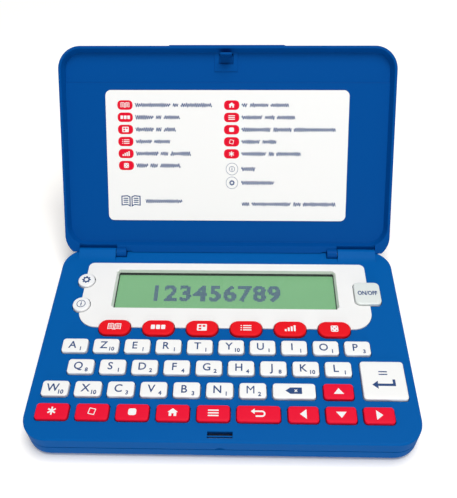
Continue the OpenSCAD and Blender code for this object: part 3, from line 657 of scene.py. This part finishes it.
def open_book():
    """Two pages with three lines each."""
    page = [(0.12, 1.15), (0.9, 1.5), (2.45, 1.35), (2.45, -1.15), (0.9, -1.0), (0.12, -1.45)]
    paper = [(0.4, 0.98), (0.95, 1.22), (2.17, 1.1), (2.17, -0.88), (0.95, -0.72), (0.4, -1.0)]
    outlines = []
    for side in (-1, 1):
        outlines += [[(side * x, y) for x, y in points] for points in (page, paper)]
        outlines += [slab(side * 1.3, y, 1.25, 0.26, 0.1) for y in (0.7, 0.2, -0.3)]
    return outlines


def house():
    """Gabled house with a door."""
    return [[(-1.75, 0.1), (0, 1.5), (1.75, 0.1), (1.25, 0.1), (1.25, -1.3), (0.38, -1.3), (0.38, -0.35),
             (-0.38, -0.35), (-0.38, -1.3), (-1.25, -1.3), (-1.25, 0.1)]]


def back_arrow():
    """Arrow that turns back to the left."""
    outer, inner = [[(1.1 + r * math.cos(math.radians(a)), -0.1 + r * math.sin(math.radians(a)))
                     for a in turns]
                    for r, turns in ((1.15, range(90, -91, -15)), (0.6, range(-90, 91, 15)))]
    return [[(-2.6, 0.77), (-1.3, 1.75), (-1.3, 1.05)] + outer + [(-1.0, -1.25), (-1.0, -0.7)]
            + inner + [(-1.3, 0.5), (-1.3, -0.2)]]


def enter_arrow():
    """Arrow that drops from the right and points left, under an equals sign."""
    return [slab(0, 3.2, 3.0, 0.42), slab(0, 2.15, 3.0, 0.42),
            [(-4.2, -1.9), (-2.2, -0.35), (-2.2, -1.45), (2.9, -1.45), (2.9, 0.2), (3.8, 0.2),
             (3.8, -2.35), (-2.2, -2.35), (-2.2, -3.45)]]


def erase_sign():
    """Tag that points left with a cross in it."""
    arm, half = 0.62, 0.15
    plus = [(arm, half), (half, half), (half, arm), (-half, arm), (-half, half), (-arm, half),
            (-arm, -half), (-half, -half), (-half, -arm), (half, -arm), (half, -half), (arm, -half)]
    slant = math.sqrt(0.5)
    cross = [(0.55 + slant * (x - y), slant * (x + y)) for x, y in plus]
    return [[(-3.0, 0), (-1.3, 1.2), (2.6, 1.2), (2.6, -1.2), (-1.3, -1.2)], cross]


def triangle(turn):
    """Arrow key's solid triangle, pointing up when turn is 0 degrees."""
    c, s = math.cos(math.radians(turn)), math.sin(math.radians(turn))
    return [[(c * x - s * y, s * x + c * y) for x, y in ((-1.75, -1.0), (1.75, -1.0), (0, 1.2))]]


SIGNS = {
    "function_key_1": open_book(),
    "function_key_2": [slab(x, 0, 1.5, 1.9, 0.25) for x in (-1.9, 0, 1.9)],
    "function_key_3": [slab(0, 0, 3.6, 2.9, 0.3), slab(-0.72, 0.62, 1.0, 0.8), slab(0.72, 0.62, 1.0, 0.8),
                       slab(-0.72, -0.62, 1.0, 0.8)],
    "function_key_4": [slab(x, y, w, 0.42, 0.15) for y in (0.95, 0, -0.95)
                       for x, w in ((-1.75, 0.5), (0.45, 3.1))],
    "function_key_5": [slab(x, h / 2 - 1.3, 0.7, h) for x, h in
                       ((-1.65, 0.9), (-0.55, 1.6), (0.55, 2.1), (1.65, 2.6))],
    "function_key_6": [slab(0, 0, 2.7, 2.7, 0.5)] + [disc(x, y, 0.27, 16) for x, y in
                       ((0, 0), (-0.75, 0.75), (0.75, 0.75), (-0.75, -0.75), (0.75, -0.75))],
    "key_star": star(),
    "key_tile": [slab(0, 0, 2.3, 2.3, 0.2, -12), slab(0, 0, 1.75, 1.75, 0.1, -12)],
    "key_block": [slab(0, 0, 2.7, 2.4, 0.7)],
    "key_home": house(),
    "key_menu": [slab(0, y, 3.6, 0.46, 0.15) for y in (0.95, 0, -0.95)],
    "key_back": back_arrow(),
    "key_up": triangle(0),
    "key_down": triangle(180),
    "key_left": triangle(90),
    "key_right": triangle(-90),
    "key_enter": enter_arrow(),
    "key_erase": erase_sign(),
    "button_settings": gear(),
    "button_info": [disc(0, 0, 1.7), disc(0, 0, 1.45), disc(0.05, 0.8, 0.22, 12), slab(0, -0.25, 0.4, 1.4)],
}


def key_style(node):
    """Corner radius, edge radius, plastic, ink and the record's slot of a key."""
    if node.startswith("function_key"):
        return *OVAL_KEY, oval_red, ink_white, "oval_red"
    if node == "button_power":
        return *POWER_BUTTON, button_grey, ink_blue, "button_grey"
    if node.startswith("button"):
        return *ROUND_BUTTON, button_white, ink_blue, "button_white"
    if len(node) == len("key_a") or node in ("key_erase", "key_enter"):
        return *PLAIN_KEY, key_white, ink_blue, "key_white"
    return *PLAIN_KEY, key_red, ink_white, "key_red"


def make_key(node):
    """One printed keycap, which rides on the body of its key."""
    radius, edge, plastic, print_ink, slot = key_style(node)
    work, top = keycap(node, radius, edge)
    if node in SIGNS:
        printed(work, signs(SIGNS[node]), top, 1)
    elif node == "button_power":
        words = lettering("ON/OFF", SWITCH_HEIGHT, INK_DEEP, VALUE_WIDER)
        words.transform(Matrix.Diagonal((SWITCH_NARROWED, 1, 1, 1)))
        printed(work, words, top, 1)
    else:
        letter = node[-1]
        wider = 0.0 if letter == NOT_WIDENED else LETTER_WIDER
        capital = lettering(letter.upper(), LETTER_HEIGHT, INK_DEEP, wider)
        printed(work, capital, top + Vector((*LETTER_PLACE, 0)), 1)
        value = lettering(str(LETTER_VALUES[letter]), VALUE_HEIGHT, INK_DEEP, VALUE_WIDER)
        printed(work, value, top + Vector((*VALUE_PLACE, 0)), 1)
    mesh = bpy.data.meshes.new(node)
    work.to_mesh(mesh)
    work.free()
    piece = new_piece(f"{node}_printed", mesh, plastic, print_ink)
    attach(piece, f"{node}_cap")
    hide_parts(node)


for body in frame["bodies"]:
    if body.endswith("_cap"):
        make_key(body.removesuffix("_cap"))


# Label card: white coated card glued into its seat in the lid, printed in two colours with
# a key to the signs. The lines beside the signs only suggest words.
card_white = moulded_plastic("card_white", "#F1F1EF", 0.5, grain=0.3 * MM, depth=0.002 * MM, mottle=0.03)
dress_node("label_card", card_white, edge=0.03 * MM)

lid_joint = next(j for j in frame["joints"] if j["name"] == "lid_hinge")
LID_TURN = -math.radians(max(lid_joint["range_deg"], key=abs))
pins_low, pins_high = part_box("hinge_pins")
HINGE = Vector((0, (pins_low.y + pins_high.y) / 2, (pins_low.z + pins_high.z) / 2))
opened = Matrix.Rotation(LID_TURN, 3, "X")
card_up = opened @ Vector((0, -1, 0))
card_out = opened @ Vector((0, 0, -1))
card_height = max((v.co - HINGE).dot(card_out) for v in frame["nodes"]["label_card"].data.vertices)

# Places on the card, in millimetres from the middle and from the hinge.
ROW_PITCH = 4.76
FIRST_ROW = 59.2
HELP_ROW = 34.13
SETTINGS_ROW = 28.6
PILL_W = 6.1
PILL_D = 3.7
PILL_CORNER = 1.5
PILL_SIGN = 0.72
SECOND_INK = 0.01 * MM
LEFT_PILLS = -40.5
RIGHT_PILLS = 1.9
RING_COLUMN = 2.1
RING_RADII = (2.45, 2.3)
RING_SIGN = 0.68
BOOK_PLACE = (-39.0, 21.0)
BOOK_SIZE = 1.6
WORDS_FROM = 4.05
WORD_SHORTER = 0.5
WORD_SPACE = 1.1
WAVE_PITCH = 0.85
WAVE_STEPS = 10.0
WAVE_HEIGHT = 1.3
WAVE_LEAST = 0.75
WAVE_MOST = 1.35
ROW_APART = 37.0
LINE_W = 0.32
LINE_THICK = 0.06

# Signs of the two columns, and the letters in each word beside them.
LEFT_SIGNS = [f"function_key_{number}" for number in range(1, 7)]
LEFT_WORDS = ([17, 3, 15], [9, 3, 8], [9, 3, 6], [8, 8], [11, 4, 10], [6, 4, 10])
RIGHT_SIGNS = ["key_home", "key_menu", "key_block", "key_tile", "key_star"]
RIGHT_WORDS = ([3, 9, 9], [10, 5, 9], [14, 9, 20], [9, 7], [12, 3, 12])
COLUMNS = ((LEFT_PILLS, LEFT_SIGNS, LEFT_WORDS), (RIGHT_PILLS, RIGHT_SIGNS, RIGHT_WORDS))
LOWER_WORDS = [(RIGHT_PILLS + WORDS_FROM, HELP_ROW, [7]), (RIGHT_PILLS + WORDS_FROM, SETTINGS_ROW, [16]),
               (6.2, 20.0, [4, 19, 4, 16]), (-33.0, 21.0, [18])]


def wave_group(material):
    """Each straight edge becomes a flat wavy ribbon, whose waves differ in height."""
    group, given, result = new_group(
        "word_waves", "GeometryNodeTree",
        [("Geometry", "NodeSocketGeometry", None), ("Wave Pitch", "NodeSocketFloat", 1.0),
         ("Wave Height", "NodeSocketFloat", 1.0), ("Line Width", "NodeSocketFloat", 0.3),
         ("Thickness", "NodeSocketFloat", 0.02), ("Seed", "NodeSocketInt", 3)],
        [("Geometry", "NodeSocketGeometry")])
    line = add_node(group, "GeometryNodeMeshToCurve", {"Mesh": given["Geometry"]})
    step = maths(group, "DIVIDE", given["Wave Pitch"], WAVE_STEPS)
    fine = add_node(group, "GeometryNodeResampleCurve",
                    {"Curve": line.outputs[0], "Length": step}, mode="LENGTH")
    place = add_node(group, "ShaderNodeSeparateXYZ",
                     {0: add_node(group, "GeometryNodeInputPosition").outputs[0]}).outputs
    waves = maths(group, "DIVIDE", place["X"], given["Wave Pitch"])
    swing = maths(group, "SINE", maths(group, "MULTIPLY", waves, 2 * math.pi))
    row = maths(group, "MULTIPLY", place["Y"], ROW_APART)
    which = maths(group, "ADD", maths(group, "FLOOR", waves), row)
    chance = add_node(group, "FunctionNodeRandomValue",
                      {"ID": which, "Seed": given["Seed"], 2: WAVE_LEAST, 3: WAVE_MOST}, data_type="FLOAT")
    tall = maths(group, "MULTIPLY", swing, chance.outputs[1])
    rise = maths(group, "MULTIPLY", tall, maths(group, "MULTIPLY", given["Wave Height"], 0.5))
    offset = add_node(group, "ShaderNodeCombineXYZ", {"Y": rise})
    wavy = add_node(group, "GeometryNodeSetPosition",
                    {"Geometry": fine.outputs[0], "Offset": offset.outputs[0]})
    upright = add_node(group, "GeometryNodeSetCurveNormal", {"Curve": wavy.outputs[0]}, mode="Z_UP")
    section = add_node(group, "GeometryNodeCurvePrimitiveQuadrilateral",
                       {"Width": given["Line Width"], "Height": given["Thickness"]})
    ribbon = add_node(group, "GeometryNodeCurveToMesh",
                      {"Curve": upright.outputs[0], "Profile Curve": section.outputs[0], "Fill Caps": True})
    inked = add_node(group, "GeometryNodeSetMaterial",
                     {"Geometry": ribbon.outputs[0], "Material": material})
    group.links.new(inked.outputs[0], result["Geometry"])
    return group


def word_lines(rows):
    """Edges for words: each row gives its start, its height and the words' lengths."""
    mesh = bpy.data.meshes.new("words")
    points, edges = [], []
    for x, y, words in rows:
        for letters in words:
            end = x + letters * WAVE_PITCH - WORD_SHORTER
            edges.append((len(points), len(points) + 1))
            points += [(x, y, 0), (end, y, 0)]
            x = end + WORD_SPACE
    mesh.from_pydata(points, edges, [])
    return mesh


def card_print():
    """Signs on red pills and rows of word-like lines, laid on the card in the open lid."""
    work = bmesh.new()
    rows = []
    for column, names, words in COLUMNS:
        for row, name in enumerate(names):
            y = FIRST_ROW - row * ROW_PITCH
            printed(work, signs([slab(column, y, PILL_W, PILL_D, PILL_CORNER)]), (0, 0, 0), 0)
            printed(work, signs(moved(SIGNS[name], column, y, PILL_SIGN)), (0, 0, SECOND_INK), 1)
            rows.append((column + WORDS_FROM, y, words[row]))
    for y, name in ((HELP_ROW, "button_info"), (SETTINGS_ROW, "button_settings")):
        printed(work, signs([disc(RING_COLUMN, y, radius) for radius in RING_RADII]), (0, 0, 0), 2)
        printed(work, signs(moved(SIGNS[name], RING_COLUMN, y, RING_SIGN)), (0, 0, 0), 2)
    printed(work, signs(moved(open_book(), *BOOK_PLACE, BOOK_SIZE)), (0, 0, 0), 2)
    words = run_group(wave_group(ink_blue), word_lines(rows + LOWER_WORDS), Wave_Pitch=WAVE_PITCH,
                      Wave_Height=WAVE_HEIGHT, Line_Width=LINE_W, Thickness=LINE_THICK)
    words.transform(Matrix.Scale(MM, 4))
    for polygon in words.polygons:
        polygon.material_index = 2
    work.from_mesh(words)
    mesh = bpy.data.meshes.new("card_print")
    work.to_mesh(mesh)
    work.free()
    across = Vector((1, 0, 0))
    turn = Matrix((across, card_up, card_out)).transposed().to_4x4()
    mesh.transform(Matrix.Translation(HINGE + card_height * card_out) @ turn)
    piece = new_piece("card_print", mesh, ink_red, ink_white, ink_blue)
    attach(piece, "lid")


card_print()


# Steel: the two hinge pins, the six self-tapping case screws and the two coin cells, all
# turned or rolled bright metal with fine lines.
STEEL_DULLER = "#8F9296"


def bright_steel(name, tone, roughness, lines):
    """Bright metal with fine lines left by turning or rolling."""
    material, tree, shader = new_material(name)
    stretched = add_node(tree, "ShaderNodeMapping", {"Vector": object_place(tree), "Scale": lines})
    streaks = noise(tree, stretched.outputs[0], scale=900.0, detail=3.0)
    bump = add_node(tree, "ShaderNodeBump", {"Height": streaks, "Distance": 0.002 * MM})
    tree.links.new(mixed(tree, streaks, colour(tone), colour(STEEL_DULLER)), shader.inputs["Base Color"])
    tree.links.new(spread(tree, streaks, roughness, roughness + 0.2), shader.inputs["Roughness"])
    tree.links.new(bump.outputs["Normal"], shader.inputs["Normal"])
    shader.inputs["Metallic"].default_value = 1.0
    return material


dress_node("hinge_pins", bright_steel("pin_steel", "#C9CCD0", 0.22, [0.2, 3, 3]), edge=0.05 * MM)
dress_node("case_screws", bright_steel("screw_steel", "#B9BCC0", 0.28, [2, 2, 0.3]), edge=0.05 * MM)
dress_node("coin_cells", bright_steel("cell_steel", "#D3D5D8", 0.18, [0.3, 3, 3]), edge=0.1 * MM)


# Circuit board under the keys: green lacquered laminate with copper tracks, which carries
# the key contacts, the display and the battery clips.
LACQUER_GREEN = "#14603A"
TRACK_GREEN = "#2E8A55"
TRACK_DEPTH = 0.03 * MM


def lacquered_board():
    """Solder lacquer over copper tracks that run in straight steps."""
    material, tree, shader = new_material("board_green")
    tracks = add_node(tree, "ShaderNodeTexBrick",
                      {"Vector": object_place(tree), "Scale": 260.0, "Mortar Size": 0.06,
                       "Mortar Smooth": 0.1, "Color1": [0, 0, 0, 1], "Color2": [0, 0, 0, 1],
                       "Mortar": [1, 1, 1, 1]}).outputs["Color"]
    lacquer = mixed(tree, tracks, colour(LACQUER_GREEN), colour(TRACK_GREEN))
    bump = add_node(tree, "ShaderNodeBump", {"Height": tracks, "Distance": TRACK_DEPTH})
    tree.links.new(lacquer, shader.inputs["Base Color"])
    tree.links.new(bump.outputs["Normal"], shader.inputs["Normal"])
    shader.inputs["Roughness"].default_value = 0.3
    return material


dress_node("circuit_board", lacquered_board(), edge=0)


# Key mat: grey silicone rubber moulded with a dome under every key, which lifts the key
# again after a press. The rubber is dull and slightly dusty.
mat_rubber = moulded_plastic("mat_rubber", "#A9ADB2", 0.72, grain=0.1 * MM, depth=0.01 * MM, mottle=0.25,
                             specular=0.25)
dress_node("key_mat", mat_rubber, edge=0)


# Studio: pale floor that keeps the shadow, white surroundings, a soft light straight above
# and a weaker, lower one from the front. A light has its place, its side and its power.
FLOOR_HALF = 4.0
FLOOR_WHITE = [0.9, 0.9, 0.9, 1]
FLOOR_SEEN = [1.2, 1.17, 1.12, 1]
FLOOR_MIRRORED = 0.5
FADE_FROM = 0.2
FADE_TO = 0.55
SKY = 0.36
LIGHT_ABOVE = ((0.1, 0.0, 0.95), 0.5, 6.2)
LIGHT_FRONT = ((0.1, -0.92, 0.14), 0.3, 2.65)


def seen_directly(tree):
    """Two masks: what the camera sees straight, and what a mirror or a pane sees."""
    path = add_node(tree, "ShaderNodeLightPath").outputs
    mirrored = maths(tree, "MAXIMUM", path["Is Glossy Ray"], path["Is Transmission Ray"])
    return path["Is Camera Ray"], mirrored


def studio_floor():
    """Large pale sheet on which the part stands, fading to white away from it."""
    mesh = bpy.data.meshes.new("floor")
    corners = [(-1, -1), (1, -1), (1, 1), (-1, 1)]
    mesh.from_pydata([(FLOOR_HALF * x, FLOOR_HALF * y, 0) for x, y in corners], [], [(0, 1, 2, 3)])
    floor = bpy.data.objects.new("floor", mesh)
    bpy.context.scene.collection.objects.link(floor)
    material, tree, shader = new_material("floor_paper")
    camera_ray, mirrored = seen_directly(tree)
    tree.links.new(mixed(tree, camera_ray, FLOOR_WHITE, FLOOR_SEEN), shader.inputs["Base Color"])
    shader.inputs["Roughness"].default_value = 0.9
    shader.inputs["Specular IOR Level"].default_value = 0.0
    away = add_node(tree, "ShaderNodeVectorMath", {0: object_place(tree)}, operation="LENGTH")
    far = add_node(tree, "ShaderNodeMapRange",
                   {"Value": away.outputs["Value"], "From Min": FADE_FROM, "From Max": FADE_TO},
                   interpolation_type="SMOOTHSTEP")
    share = maths(tree, "MAXIMUM", maths(tree, "MULTIPLY", far.outputs[0], camera_ray), mirrored)
    strength = spread(tree, mirrored, 1.0, FLOOR_MIRRORED)
    glow = add_node(tree, "ShaderNodeEmission", {"Color": [1, 1, 1, 1], "Strength": strength})
    mix = add_node(tree, "ShaderNodeMixShader", {0: share, 1: shader.outputs[0], 2: glow.outputs[0]})
    tree.links.new(mix.outputs[0], tree.nodes["Material Output"].inputs["Surface"])
    mesh.materials.append(material)


def surroundings():
    """World: white where it is seen, an even soft grey light elsewhere."""
    world = bpy.data.worlds.new("studio")
    bpy.context.scene.world = world
    world.use_nodes = True
    tree = world.node_tree
    background = tree.nodes["Background"]
    seen = maths(tree, "MAXIMUM", *seen_directly(tree))
    tree.links.new(spread(tree, seen, SKY, 1.0), background.inputs["Strength"])
    background.inputs["Color"].default_value = [1, 1, 1, 1]


def soft_light(name, place, side, power):
    """Square lamp that points at the part and isn't seen itself."""
    lamp = bpy.data.lights.new(name, "AREA")
    lamp.size = side
    lamp.energy = power
    light = bpy.data.objects.new(name, lamp)
    bpy.context.scene.collection.objects.link(light)
    light.location = place
    light.rotation_euler = (-Vector(place)).to_track_quat("-Z", "Y").to_euler()
    light.visible_camera = False


studio_floor()
surroundings()
soft_light("light_above", *LIGHT_ABOVE)
soft_light("light_front", *LIGHT_FRONT)
bpy.context.scene.view_settings.view_transform = "Standard"


# Camera at the photograph's viewing angle, over the front edge and looking down on the keys.
# Its place, its angles in radians and its focal length come from the fit to the photograph.
CAMERA_PLACE = Vector((7.020, -130.435, 201.529)) * MM
CAMERA_YAW = -0.036023
CAMERA_PITCH = 0.832971
CAMERA_ROLL = -0.019745
FOCAL_PIXELS = 624.764
PICTURE_HEIGHT = 498
SENSOR = 36.0

lens = bpy.data.cameras.new("camera")
lens.sensor_width = SENSOR
lens.lens = FOCAL_PIXELS / PICTURE_HEIGHT * SENSOR
lens.clip_start = 0.005
camera = bpy.data.objects.new("camera", lens)
bpy.context.scene.collection.objects.link(camera)
camera.matrix_world = (Matrix.Translation(CAMERA_PLACE)
                       @ Matrix.Rotation(-CAMERA_YAW, 4, "Z")
                       @ Matrix.Rotation(math.pi / 2 - CAMERA_PITCH, 4, "X")
                       @ Matrix.Rotation(CAMERA_ROLL, 4, "Z"))
bpy.context.scene.camera = camera
